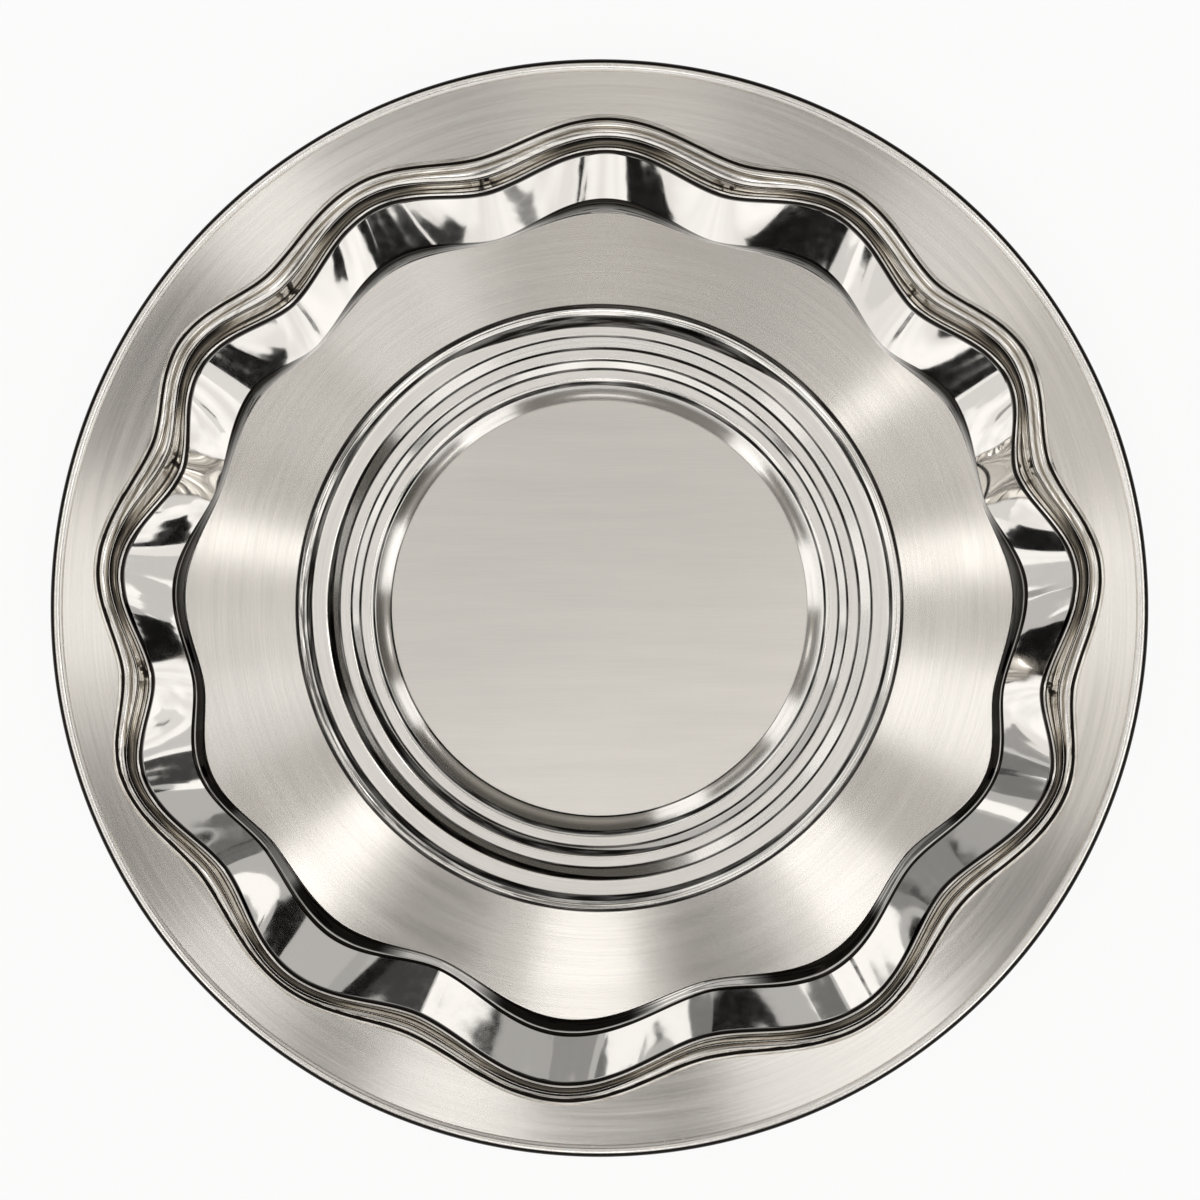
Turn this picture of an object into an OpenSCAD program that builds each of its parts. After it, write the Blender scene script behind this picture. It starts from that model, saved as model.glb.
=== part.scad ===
// Round metal plate with a rolled rim, a scalloped reeded border, a fluted well
// and a stepped centre ring that holds a flat disc.
// Millimetres. The origin is the middle of the face that it stands on, and +Z is up.

/* [Plate] */
// Diameter over the rolled rim
plate_d = 300; // [284:1:330]
// Thickness of the pressed sheet
sheet_t = 0.8; // [0.6:0.05:0.9]
// Depth of the well, from the brim to its floor
well_depth = 12; // [11:0.1:18]

/* [Rolled rim] */
// Thickness of the rim bead, over the curled sheet
bead_d = 3.4; // [3.2:0.1:4]
// Height of the bead's middle above the brim's underside
bead_lift = 0.4; // [0.3:0.05:0.5]
// Direction of the curl's end, in degrees below the level of the bead's middle
curl_end = 45; // [40:1:60]
// Clearance between the wire and the curl around it
wire_fit = 0.12; // [0.1:0.01:0.2]

/* [Scalloped border] */
// Height of the outer reed above the brim
outer_reed_h = 1.3; // [0.8:0.05:1.6]
// Height of the inner reed above the brim
inner_reed_h = 0.9; // [0.6:0.05:1.2]
// Gap between the two reeds
reed_gap = 0.1; // [0.05:0.01:0.2]
// Width of the brim that shows inside the inner reed
border_lip = 0.3; // [0.2:0.05:0.6]

/* [Well wall] */
// Width of the rounded shoulder between the brim and the wall
shoulder_w = 0.9; // [0.6:0.05:1.2]
// Drop of that shoulder
shoulder_h = 0.7; // [0.4:0.05:0.9]
// Rise of the step at the foot of the wall, for each unit of its width
step_slope = 0.65; // [0.4:0.05:0.8]
// How much steeper the wall gets towards its top
wall_bend = 1; // [1:0.05:1.5]

/* [Centre disc] */
// Diameter of the disc that shows
sight_d = 115; // [110:1:118]
// Thickness of the disc's flange
disc_t = 1.2; // [1:0.1:1.5]
// Width of the disc's flange, which lies under the ring's lip
disc_edge = 4.5; // [3:0.1:5]
// Clearance around the disc and its flange
disc_fit = 0.05; // [0.02:0.01:0.1]

/* [Centre ring] */
// Thickness of the lip over the disc's edge
lip_t = 0.7; // [0.5:0.05:0.9]
// Width of the polished slope around the disc
slope_w = 3.2; // [2.6:0.1:3.6]
// Height of the polished slope
slope_h = 1.3; // [1:0.05:1.6]
// Width of the lower riser
low_riser_w = 2.6; // [2:0.1:3]
// Height of the lower riser
low_riser_h = 1.6; // [1.2:0.05:1.8]
// Width of the lower tread
low_tread_w = 3; // [2.4:0.1:3.6]
// Width of the middle riser
mid_riser_w = 2.3; // [1.8:0.1:2.8]
// Height of the middle riser
mid_riser_h = 1.6; // [1.2:0.05:1.8]
// Width of the middle tread
mid_tread_w = 3.2; // [2.6:0.1:3.8]
// Width of the top riser
top_riser_w = 3.4; // [2.8:0.1:3.8]
// Height of the top riser
top_riser_h = 1.7; // [1.3:0.05:1.9]
// Width of the top tread
top_tread_w = 4; // [3.4:0.1:4.4]
// Drop from the well's floor to the top tread
tread_drop = 1.1; // [0.9:0.05:1.3]
// Width of the hollow between the top tread and the bead
cove_w = 2; // [1.6:0.1:2.4]
// Width of the bead that lies on the floor
ring_bead_w = 2.3; // [1.8:0.1:2.8]
// Height of that bead above the floor
ring_bead_h = 0.9; // [0.6:0.05:1.1]
// Thickness of the ring under its treads
ring_wall = 1.2; // [1:0.05:1.5]
// Width of the ring's standing face outside the disc
stand_w = 3.6; // [3:0.1:4]
// Clearance between the ring and the hole in the floor
hole_fit = 0.1; // [0.05:0.01:0.2]
// Width of the ring's collar inside that hole, measured from the bead's inner edge
collar_inset = 0.8; // [0.6:0.05:1]

/* [Hidden] */

$fn = 180;
silver = "silver";
satin = "lightgray";
plate_r = plate_d / 2;

// Levels, from the standing face up
lip_z = disc_t + lip_t;
slope_z = lip_z + slope_h;
low_z = slope_z + low_riser_h;
mid_z = low_z + mid_riser_h;
top_z = mid_z + top_riser_h;
floor_z = top_z + tread_drop;
brim_z = floor_z + well_depth;

// Radii of the centre ring, from the disc out
sight_r = sight_d / 2;
slope_r = sight_r + slope_w;
low_riser_r = slope_r + low_riser_w;
low_tread_r = low_riser_r + low_tread_w;
mid_riser_r = low_tread_r + mid_riser_w;
mid_tread_r = mid_riser_r + mid_tread_w;
top_riser_r = mid_tread_r + top_riser_w;
top_tread_r = top_riser_r + top_tread_w;
cove_r = top_tread_r + cove_w;
ring_r = cove_r + ring_bead_w;
disc_r = sight_r + disc_edge;
stand_r = disc_r + disc_fit + stand_w;
collar_r = cove_r - collar_inset;
hole_r = collar_r + hole_fit;

// Lines of the scalloped border and of the step below it, as [direction in degrees,
// share of the plate's radius], one point for each crest and each hollow
outer_line_shares = [
    [4.5, 0.923], [18, 0.869], [31, 0.914], [44.5, 0.861], [58.5, 0.898], [72.5, 0.856],
    [89, 0.9], [105, 0.856], [120, 0.898], [134.5, 0.865], [148, 0.914], [159.5, 0.876],
    [175, 0.925], [187.5, 0.885], [199.5, 0.932], [214.5, 0.882], [229, 0.907], [246, 0.858],
    [265, 0.909], [283.5, 0.851], [303.5, 0.909], [320.5, 0.86], [338.5, 0.923], [350.5, 0.883]];
middle_line_shares = [
    [4.5, 0.894], [18, 0.832], [31, 0.876], [44.5, 0.822], [58.5, 0.86], [72.5, 0.811],
    [89, 0.858], [105, 0.811], [120, 0.86], [134.5, 0.82], [148, 0.876], [160, 0.834],
    [175, 0.896], [188, 0.849], [200, 0.909], [214.5, 0.854], [229, 0.889], [246, 0.832],
    [265, 0.888], [283.5, 0.822], [303.5, 0.889], [320.5, 0.832], [338.5, 0.898], [350.5, 0.849]];
inner_line_shares = [
    [4, 0.874], [18, 0.803], [29.5, 0.858], [44, 0.796], [58.5, 0.84], [73.5, 0.79],
    [89, 0.838], [105, 0.789], [120, 0.839], [135, 0.792], [149, 0.854], [161.5, 0.805],
    [175.5, 0.878], [188.5, 0.829], [200.5, 0.891], [215, 0.836], [229, 0.876], [246, 0.816],
    [265, 0.876], [284, 0.809], [303.5, 0.874], [320.5, 0.814], [338.5, 0.885], [350, 0.825]];
step_line_shares = [
    [2.5, 0.784], [16, 0.733], [30, 0.754], [43, 0.707], [57.5, 0.746], [73, 0.704],
    [89, 0.749], [105.5, 0.701], [120.5, 0.744], [137, 0.706], [149, 0.753], [162, 0.734],
    [177.5, 0.782], [190, 0.757], [202.5, 0.795], [216, 0.757], [229.5, 0.779], [246, 0.725],
    [265, 0.786], [285.5, 0.731], [303.5, 0.791], [320.5, 0.742], [337, 0.79], [349, 0.755]];
foot_line_shares = [
    [2, 0.758], [16, 0.728], [28, 0.739], [43, 0.704], [56.5, 0.729], [73.5, 0.701],
    [89, 0.725], [105.5, 0.698], [121.5, 0.724], [136.5, 0.703], [150, 0.734], [161.5, 0.725],
    [178, 0.76], [190.5, 0.738], [203, 0.773], [216.5, 0.736], [229, 0.749], [246, 0.707],
    [265.5, 0.757], [285.5, 0.711], [304, 0.761], [321, 0.721], [336.5, 0.771], [348.5, 0.738]];

// Fullness of the crests: 1 is a plain wave, and less makes the hollows narrower
crest_fullness_share = 0.92;
// Directions at which the lines are worked out
direction_count = 120;
directions = [for (i = [0:direction_count - 1]) 360 * i / direction_count];

// Places across the wall from its foot, and across the step from the floor, as shares of
// their widths, and the height of the step at each of its places
wall_shares = [0, 0.2, 0.45, 0.65, 0.85];
step_width_shares = [0.12, 0.45, 0.82];
step_height_shares = [0.1, 0.62, 0.94];
// Places across a reed, and its height there
reed_width_shares = [0, 0.12, 0.35, 0.65, 0.88, 1];
reed_height_shares = [0.3, 0.75, 1, 1, 0.75, 0.3];

// Middle of the rim bead
bead_r = bead_d / 2;
bead_x = plate_r - bead_r;
bead_z = brim_z - sheet_t + bead_lift;
wire_r = bead_r - sheet_t;
curl_inside_steps = 9;
curl_outside_steps = 11;

// Thickness of the sheet measured upright, for each unit of its true thickness
flat_lean_share = 1;
wall_lean_share = 1.35;

function turned(a) = a - 360 * floor(a / 360);

// Index of the point at or just before a direction
function point_before(line, a) =
    [for (i = [0:len(line) - 1])
        if (turned(a - line[i][0]) < turned(line[(i + 1) % len(line)][0] - line[i][0])) i][0];

function full_wave(t) = pow((1 - cos(180 * t)) / 2, crest_fullness_share);

// Radius of a scalloped line in a direction
function line_r(line, a) =
    let (
        i = point_before(line, a),
        start = line[i],
        stop = line[(i + 1) % len(line)],
        t = turned(a - start[0]) / turned(stop[0] - start[0]),
        low = min(start[1], stop[1]),
        high = max(start[1], stop[1]))
    plate_r * (low + (high - low) * full_wave(start[1] < stop[1] ? t : 1 - t));

// Upper side of the sheet in one direction, from the hole out: [radius, height, lean]
function sheet_top(a) =
    let (
        border_r = line_r(inner_line_shares, a) - border_lip,
        wall_top_r = border_r - shoulder_w,
        wall_top_z = brim_z - shoulder_h,
        step_r = line_r(step_line_shares, a),
        foot_r = line_r(foot_line_shares, a),
        step_w = step_r - foot_r,
        step_h = step_w * step_slope,
        step_z = floor_z + step_h)
    concat(
        [[hole_r, floor_z, flat_lean_share], [foot_r, floor_z, flat_lean_share]],
        [for (i = [0:len(step_width_shares) - 1])
            [foot_r + step_w * step_width_shares[i],
             floor_z + step_h * step_height_shares[i], wall_lean_share]],
        [for (s = wall_shares)
            [step_r + (wall_top_r - step_r) * s,
             step_z + (wall_top_z - step_z) * pow(s, wall_bend), wall_lean_share]],
        [[wall_top_r, wall_top_z, wall_lean_share]],
        [[border_r - shoulder_w / 2, brim_z - shoulder_h / 4, flat_lean_share]],
        [[border_r, brim_z, flat_lean_share]]);

// Arc of the curled rim, as [radius, height]
function curl_arc(r, from, to, steps) =
    [for (i = [0:steps])
        let (a = from + (to - from) * i / steps)
        [bead_x + r * cos(a), bead_z + r * sin(a)]];

// Closed section of the sheet in one direction: underside out to the curl, the curl's
// inside and outside, and the upper side back in to the hole
function shell_section(a) =
    let (top = sheet_top(a), last = len(top) - 1)
    concat(
        [for (p = top) [p[0], p[1] - sheet_t * p[2]]],
        curl_arc(wire_r, 180 + asin(bead_lift / wire_r), curl_end - 180, curl_inside_steps),
        curl_arc(bead_r, curl_end - 180, 180 - asin((sheet_t - bead_lift) / bead_r), curl_outside_steps),
        [for (i = [last:-1:0]) [top[i][0], top[i][1]]]);

function ring_point(a, r, z) = [r * cos(a), r * sin(a), z];

// Faces of a closed band whose section has section_count points, in each direction
function band_faces(section_count) =
    [for (i = [0:direction_count - 1], j = [0:section_count - 1])
        let (
            next_i = (i + 1) % direction_count,
            next_j = (j + 1) % section_count,
            a = i * section_count + j,
            b = next_i * section_count + j,
            c = next_i * section_count + next_j,
            d = i * section_count + next_j)
        each [[a, b, c], [a, c, d]]];

// One pressed sheet: floor, step, fluted wall, flat brim and the curl around the wire
module dish_shell() {
    section_count = len(shell_section(0));
    points = [
        for (a = directions)
            each [for (p = shell_section(a)) ring_point(a, p[0], p[1])]];
    color(silver)
        polyhedron(points, band_faces(section_count));
}

module rim_wire() {
    color(silver)
        rotate_extrude()
            translate([bead_x, bead_z])
                circle(wire_r - wire_fit);
}

// Half-round strip that lies on the brim between two scalloped lines
module reed(inside_line, outside_line, inside_gap, outside_gap, reed_h) {
    section_count = len(reed_width_shares) + 2;
    points = [
        for (a = directions)
            let (
                inside_r = line_r(inside_line, a) + inside_gap,
                outside_r = line_r(outside_line, a) - outside_gap)
            each concat(
                [ring_point(a, inside_r, brim_z), ring_point(a, outside_r, brim_z)],
                [for (i = [len(reed_width_shares) - 1:-1:0])
                    ring_point(
                        a,
                        inside_r + (outside_r - inside_r) * reed_width_shares[i],
                        brim_z + reed_h * reed_height_shares[i])])];
    polyhedron(points, band_faces(section_count));
}

module outer_reed() {
    color(satin)
        reed(middle_line_shares, outer_line_shares, reed_gap / 2, 0, outer_reed_h);
}

module inner_reed() {
    color(satin)
        reed(inner_line_shares, middle_line_shares, 0, reed_gap / 2, inner_reed_h);
}

// Turned ring: its bead lies on the floor, its collar fills the hole in the floor, its
// steps go down to the disc, and its lower face stands level with the disc's
module well_ring() {
    bead_top_z = floor_z + ring_bead_h;
    bead_edge_z = floor_z + ring_bead_h / 3;
    color(silver)
        rotate_extrude()
            polygon([
                [sight_r, disc_t],
                [disc_r + disc_fit, disc_t],
                [disc_r + disc_fit, 0],
                [stand_r, 0],
                [stand_r, low_z - ring_wall],
                [mid_riser_r + ring_wall / 2, mid_z - ring_wall],
                [mid_tread_r + ring_wall / 2, mid_z - ring_wall],
                [top_riser_r + ring_wall / 2, top_z - ring_wall],
                [collar_r, top_z - ring_wall],
                [collar_r, floor_z],
                [ring_r, floor_z],
                [ring_r, bead_edge_z],
                [ring_r - ring_bead_w / 3, bead_top_z],
                [cove_r + ring_bead_w / 4, bead_top_z],
                [cove_r, floor_z + ring_bead_h / 2],
                [top_tread_r + cove_w / 4, top_z + tread_drop / 5],
                [top_tread_r, top_z],
                [top_riser_r, top_z],
                [mid_tread_r, mid_z],
                [mid_riser_r, mid_z],
                [low_tread_r, low_z],
                [low_riser_r, low_z],
                [slope_r, slope_z],
                [sight_r, lip_z]]);
}

// Turned disc: its flange is held under the ring's lip, and its face comes up level with it
module centre_disc() {
    color(satin)
        union() {
            cylinder(h = disc_t, r = disc_r);
            cylinder(h = lip_z, r = sight_r - disc_fit);
        }
}

dish_shell();
rim_wire();
outer_reed();
inner_reed();
well_ring();
centre_disc();
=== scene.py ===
"""Looks of a round metal plate: lathe-brushed brim and floor, polished fluted wall, reeded
border, turned centre ring and a straight-brushed disc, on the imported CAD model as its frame."""

import math

import bmesh
import bpy
import numpy as np
from bpy.props import FloatProperty, FloatVectorProperty, IntProperty, PointerProperty
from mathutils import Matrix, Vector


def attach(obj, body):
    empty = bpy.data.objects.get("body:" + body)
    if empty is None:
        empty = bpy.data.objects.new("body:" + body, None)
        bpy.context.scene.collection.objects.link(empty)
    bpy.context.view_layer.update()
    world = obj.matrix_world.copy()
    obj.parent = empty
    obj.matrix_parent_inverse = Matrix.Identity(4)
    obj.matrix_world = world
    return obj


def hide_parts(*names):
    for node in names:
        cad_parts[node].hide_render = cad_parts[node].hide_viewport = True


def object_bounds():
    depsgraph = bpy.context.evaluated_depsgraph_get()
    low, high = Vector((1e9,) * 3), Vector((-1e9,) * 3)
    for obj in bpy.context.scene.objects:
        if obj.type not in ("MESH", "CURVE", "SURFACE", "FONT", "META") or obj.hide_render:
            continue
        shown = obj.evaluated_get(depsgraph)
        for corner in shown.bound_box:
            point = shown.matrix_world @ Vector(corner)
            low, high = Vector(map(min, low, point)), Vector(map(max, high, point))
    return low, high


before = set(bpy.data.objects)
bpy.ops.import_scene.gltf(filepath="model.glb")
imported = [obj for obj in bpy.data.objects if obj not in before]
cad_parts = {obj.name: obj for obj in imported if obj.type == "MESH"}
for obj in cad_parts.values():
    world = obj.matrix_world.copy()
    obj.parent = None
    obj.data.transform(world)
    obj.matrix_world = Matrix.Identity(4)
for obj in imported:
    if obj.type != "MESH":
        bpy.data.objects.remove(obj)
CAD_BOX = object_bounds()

bl_info = {
    "name": "Scalloped metal plate",
    "version": (1, 0, 0),
    "blender": (4, 5, 0),
    "location": "3D View > Sidebar > Plate",
    "description": "Builds the visible pieces of a round metal plate with a scalloped border",
    "category": "Object",
}

MM = 0.001
PLATE_R = (CAD_BOX[1][0] - CAD_BOX[0][0]) / 2

# Lines of the scalloped border and of the step below it, from the outermost in, as
# (direction in degrees, share of the plate's radius), one for each crest and each hollow
OUTER_LINE = (
    (4.5, 0.923), (18, 0.869), (31, 0.914), (44.5, 0.861), (58.5, 0.898), (72.5, 0.856),
    (89, 0.9), (105, 0.856), (120, 0.898), (134.5, 0.865), (148, 0.914), (159.5, 0.876),
    (175, 0.925), (187.5, 0.885), (199.5, 0.932), (214.5, 0.882), (229, 0.907), (246, 0.858),
    (265, 0.909), (283.5, 0.851), (303.5, 0.909), (320.5, 0.86), (338.5, 0.923), (350.5, 0.883),
)
MIDDLE_LINE = (
    (4.5, 0.894), (18, 0.832), (31, 0.876), (44.5, 0.822), (58.5, 0.86), (72.5, 0.811),
    (89, 0.858), (105, 0.811), (120, 0.86), (134.5, 0.82), (148, 0.876), (160, 0.834),
    (175, 0.896), (188, 0.849), (200, 0.909), (214.5, 0.854), (229, 0.889), (246, 0.832),
    (265, 0.888), (283.5, 0.822), (303.5, 0.889), (320.5, 0.832), (338.5, 0.898), (350.5, 0.849),
)
INNER_LINE = (
    (4, 0.874), (18, 0.803), (29.5, 0.858), (44, 0.796), (58.5, 0.84), (73.5, 0.79),
    (89, 0.838), (105, 0.789), (120, 0.839), (135, 0.792), (149, 0.854), (161.5, 0.805),
    (175.5, 0.878), (188.5, 0.829), (200.5, 0.891), (215, 0.836), (229, 0.876), (246, 0.816),
    (265, 0.876), (284, 0.809), (303.5, 0.874), (320.5, 0.814), (338.5, 0.885), (350, 0.825),
)
STEP_LINE = (
    (2.5, 0.784), (16, 0.733), (30, 0.754), (43, 0.707), (57.5, 0.746), (73, 0.704),
    (89, 0.749), (105.5, 0.701), (120.5, 0.744), (137, 0.706), (149, 0.753), (162, 0.734),
    (177.5, 0.782), (190, 0.757), (202.5, 0.795), (216, 0.757), (229.5, 0.779), (246, 0.725),
    (265, 0.786), (285.5, 0.731), (303.5, 0.791), (320.5, 0.742), (337, 0.79), (349, 0.755),
)
FOOT_LINE = (
    (2, 0.758), (16, 0.728), (28, 0.739), (43, 0.704), (56.5, 0.729), (73.5, 0.701),
    (89, 0.725), (105.5, 0.698), (121.5, 0.724), (136.5, 0.703), (150, 0.734), (161.5, 0.725),
    (178, 0.76), (190.5, 0.738), (203, 0.773), (216.5, 0.736), (229, 0.749), (246, 0.707),
    (265.5, 0.757), (285.5, 0.711), (304, 0.761), (321, 0.721), (336.5, 0.771), (348.5, 0.738),
)

# Grooves along the two strips of the border, as (distance from the strip's outer side and half width
# in mm, depth as a share of the height there)
OUTER_GROOVES = ((1.4, 0.6, 0.45), (3.8, 0.6, 0.25))
INNER_GROOVES = ((1.5, 0.6, 0.3),)
# How bright the outer strip is, 0 black with painted shade and 0.5 tarnished, as (mm from its outer side,
# level)
OUTER_SHADES = (
    (0, 0.5), (0.15, 1), (0.85, 0.9), (1, 0), (1.75, 0), (1.95, 0.85), (2.4, 1),
    (3.2, 0.9), (3.5, 0.42), (4, 0.35), (4.25, 0.8), (5, 1), (8, 1),
)
# The same for the inner strip at its crests and in its hollows, as (how far across, level). The
# painted shade is deepest at its crests
CREST_SHADES = (
    (0, 0), (0.1, 0), (0.2, 0.3), (0.3, 0.1), (0.45, 0.35), (0.6, 0.15), (0.75, 0.05),
    (1, 0),
)
HOLLOW_SHADES = (
    (0, 0), (0.07, 0), (0.14, 0.8), (0.28, 0.6), (0.34, 0.1), (0.42, 0.1), (0.5, 0.7),
    (0.75, 0.6), (0.85, 0.95), (0.95, 0.4), (1, 0),
)
# Directions in which the inner strip is pinched to a knot, and how far a knot reaches, in degrees
KNOTS = (18, 44.5, 73, 105, 134.5, 161, 188, 350)
KNOT_REACH = 1.8
# Rows of points over a strip's back and on its flat side, and its gap to its neighbours
BACK_ROWS = 33
FLAT_ROWS = (0.66, 0.33)
STRIP_GAP = 0.05 * MM
# How round a strip's back is: below 1, its sides are steeper than a sine's
ROUNDNESS = 0.7

# Levels and radii of the pressed sheet
FLOOR_Z = 9.2 * MM
BRIM_Z = 21.2 * MM
SHEET = 0.8 * MM
HOLE_R = 80.5 * MM
BEAD_R = 1.7 * MM
BEAD_Z = 20.8 * MM
BEAD_X = PLATE_R - BEAD_R
CURL_END = math.radians(225)
# How far the brim reaches in past the inner strip
BRIM_LAP = 0.3 * MM
# The rounded edge between wall and brim, as distances in from the brim and down from it
SHOULDER = ((0.9 * MM, 0.7 * MM), (0.6 * MM, 0.36 * MM), (0.3 * MM, 0.1 * MM))
# Where the rows of points lie, as shares of the way over the floor, up the wall, over the brim and
# under wall and step, and how many run around the rim bead and inside its curl
FLOOR_ROWS = (0, 0.04, 0.5, 0.9, 0.985)
WALL_FOOT = 0.015
WALL_ROWS = (0.03, 0.05, 0.1, 0.16, 0.24, 0.32, 0.4, 0.48, 0.56, 0.64, 0.72, 0.8, 0.88, 0.96, 1)
BRIM_ROWS = (0.1, 0.5, 0.9)
UNDER_WALL_ROWS = (1, 0.9, 0.75, 0.6, 0.45, 0.3, 0.15, 0.05)
UNDER_STEP_ROWS = (1, 0.75, 0.5, 0.25)
BEAD_ROWS = 41
CURL_ROWS = 10
# Zones of the sheet, each with its own metal
FLOOR, WALL, BRIM, BEAD, UNDERSIDE = range(5)

# Painted shade on the step at the wall's foot:
# How dark the step at the wall's foot is, as (share of its width from the floor up, darkness at the
# top of the photograph, darkness at its bottom)
STEP_SHADES = (
    (0, 0.5, 0.9), (0.05, 0.5, 1), (0.12, 0.4, 1), (0.25, 0.45, 1), (0.38, 0.55, 1),
    (0.5, 0.65, 1), (0.62, 0.8, 1), (0.7, 0.9, 0.9), (0.75, 0.9, 0.1), (0.8, 0.7, 0),
    (0.86, 1, 0.8), (0.92, 1, 1), (1, 1, 1),
)

# Sections of the turned ring, from the disc's edge out, and of the disc, from its middle out, as
# (radius, height, corner radius) in mm
RING_SECTION = (
    (57.5, 1.9, 0.1), (59.8, 2.75, 1), (61.9, 3.7, 0.3), (63.2, 4.8, 0.3), (66.3, 4.8, 0.25),
    (68.6, 6.4, 0.5), (71.8, 6.4, 0.25), (75.2, 8.1, 0.6), (79.2, 8.1, 0.5), (80.6, 9.2, 0.6),
    (81.7, 10.1, 0.6), (83.1, 10.1, 0.5), (83.5, 9.2, 0.05), (80.4, 9.2, 0.05), (80.4, 6.9, 0.3),
    (75.8, 6.9, 0.3), (72.4, 5.2, 0.3), (69.2, 5.2, 0.3), (65.65, 3.6, 0.3), (65.65, 0, 0.2),
    (62.05, 0, 0.1), (62.05, 1.2, 0.02), (57.5, 1.2, 0.1),
)
DISC_SECTION = (
    (0, 1.9, 0), (57.45, 1.9, 0.12), (57.45, 1.2, 0.02), (62, 1.2, 0.1), (62, 0, 0.15),
    (0, 0, 0),
)
CORNER_POINTS = 6
# The circle that the ring's section is carried around, its edge, and the sides of ring and disc
PATH_R = 70 * MM
RING_EDGE = 83.5 * MM
RING_SIDES = 480
DISC_SIDES = 360
# Radii in mm: what the ring's metal spans, the treads, and the outer bead's middle and half width
RING_SPAN = (57, 84)
TREADS = ((63.4, 66.1), (69, 71.6), (75.3, 79.4))
RING_BEAD = (81.8, 1.2)

# Painted shade lines in the ring's corners, in mm: (radius, half width, azimuth at which it widens
# # and how far round, radius and half width there). A half width below 0 means no line there
RING_LINES = (
    (83.2, 0.45, 90, 80, 83.1, 0.65), (80.3, 0.4, 86, 40, 79, 1.5),
    (80.2, 0.4, 225, 110, 79.9, 0.8), (75, 0.3, 215, 75, 74.1, 0.8),
    (71.7, 0.32, 50, 60, 71.6, 0.4), (68.4, 0.3, 238, 55, 67.4, 0.9),
    (66, 0.3, 90, 70, 66, 0.35), (62.3, 0.3, 90, 60, 62.1, 0.55),
    (62.3, 0.25, 265, 60, 62.1, 0.55), (57.6, -0.12, 240, 110, 57.6, 0.3),
)
# Depth of the brushing in the metals' bumps
SCRATCH = 0.05 * MM


def linear(code):
    """An sRGB hex colour as linear red, green and blue."""
    shares = [int(code[i:i + 2], 16) / 255 for i in (0, 2, 4)]
    return tuple(c / 12.92 if c <= 0.04045 else ((c + 0.055) / 1.055) ** 2.4 for c in shares)


class PlateSizes(bpy.types.PropertyGroup):
    """Sizes of the pieces that show."""

    directions: IntProperty(
        name="Directions", description="Points around the plate on each line of the sheet",
        default=900, min=360, max=960)
    wall_bend: FloatProperty(
        name="Wall bend", description="Above 1, the wall of the well starts flatter and ends steeper",
        default=1.0, min=1, max=1.5)
    crest_fullness: FloatProperty(
        name="Crest fullness", description="Below 1, the lobes are fuller than a plain wave",
        default=0.92, min=0.6, max=1)
    step_slope: FloatProperty(
        name="Step slope", description="Rise of the step at the wall's foot for its width",
        default=0.65, min=0.3, max=0.8)
    outer_reed: FloatProperty(
        name="Outer reed", description="Height of the border's outer strip over the brim",
        default=1.3 * MM, min=0.8 * MM, max=1.4 * MM, subtype="DISTANCE", unit="LENGTH")
    inner_reed: FloatProperty(
        name="Inner reed", description="Height of the border's inner strip over the brim",
        default=0.9 * MM, min=0.5 * MM, max=1.2 * MM, subtype="DISTANCE", unit="LENGTH")


class PlateFinish(bpy.types.PropertyGroup):
    """Colours of the metal."""

    satin: FloatVectorProperty(
        name="Brushed metal", description="Colour of the lathe-brushed brim and floor",
        default=linear("e8e3dc"), size=3, min=0, max=1, subtype="COLOR")
    polished: FloatVectorProperty(
        name="Polished metal", description="Colour of the mirror-polished wall, bead and risers",
        default=linear("f2eee8"), size=3, min=0, max=1, subtype="COLOR")
    tarnish: FloatVectorProperty(
        name="Tarnish", description="Colour of the border where it is no longer bright",
        default=linear("afa595"), size=3, min=0, max=1, subtype="COLOR")
    # Painted shade: the colour painted where shade and black reflections fall, in grooves, corners and seams
    painted_shade_colour: FloatVectorProperty(
        name="Groove", description="Colour of the metal down in the grooves, where no buff reaches",
        default=linear("1e1b18"), size=3, min=0, max=1, subtype="COLOR")


class StudioLook(bpy.types.PropertyGroup):
    """The studio tent around the plate."""

    paper: FloatVectorProperty(
        name="Table", description="Colour of the table under the plate",
        default=linear("f6f6f5"), size=3, min=0, max=1, subtype="COLOR")
    room: FloatVectorProperty(
        name="Room", description="Colour of the room where it is dim, a warm white",
        default=(1.0, 0.93, 0.82), size=3, min=0, max=1, subtype="COLOR")
    distance: FloatProperty(
        name="Camera height", description="Height of the camera over the plate's rim",
        default=1.5, min=0.8, max=3, subtype="DISTANCE", unit="LENGTH")


def feed(tree, node, links):
    """Feeds a node's inputs, by name or number, from sockets or with plain values."""
    for key, value in links.items():
        if isinstance(value, bpy.types.NodeSocket):
            tree.links.new(value, node.inputs[key])
        else:
            node.inputs[key].default_value = value


def add(tree, kind, links=None, **settings):
    """Adds a node: links feed its inputs, and settings are its own properties."""
    made = tree.nodes.new(kind)
    for key, value in settings.items():
        setattr(made, key, value)
    feed(tree, made, links or {})
    return made


def new(tree, kind, links=None, **settings):
    """The first output of a new node."""
    return add(tree, kind, links, **settings).outputs[0]


def math_node(tree, kind, *values):
    """The result of one Math node on up to three values or sockets."""
    return new(tree, "ShaderNodeMath", dict(enumerate(values)), operation=kind)


def product(tree, first, *more):
    """The product of numbers."""
    for factor in more:
        first = math_node(tree, "MULTIPLY", first, factor)
    return first


def rest(tree, share):
    """What a share leaves of 1."""
    return math_node(tree, "SUBTRACT", 1.0, share)


def vector_node(tree, kind, *values):
    """The outputs of one Vector Math node on up to two vectors or sockets."""
    return add(tree, "ShaderNodeVectorMath", dict(enumerate(values)), operation=kind).outputs


def scaled(tree, vector, amount):
    """A vector or colour times a number."""
    return new(tree, "ShaderNodeVectorMath", {0: vector, "Scale": amount}, operation="SCALE")


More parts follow.
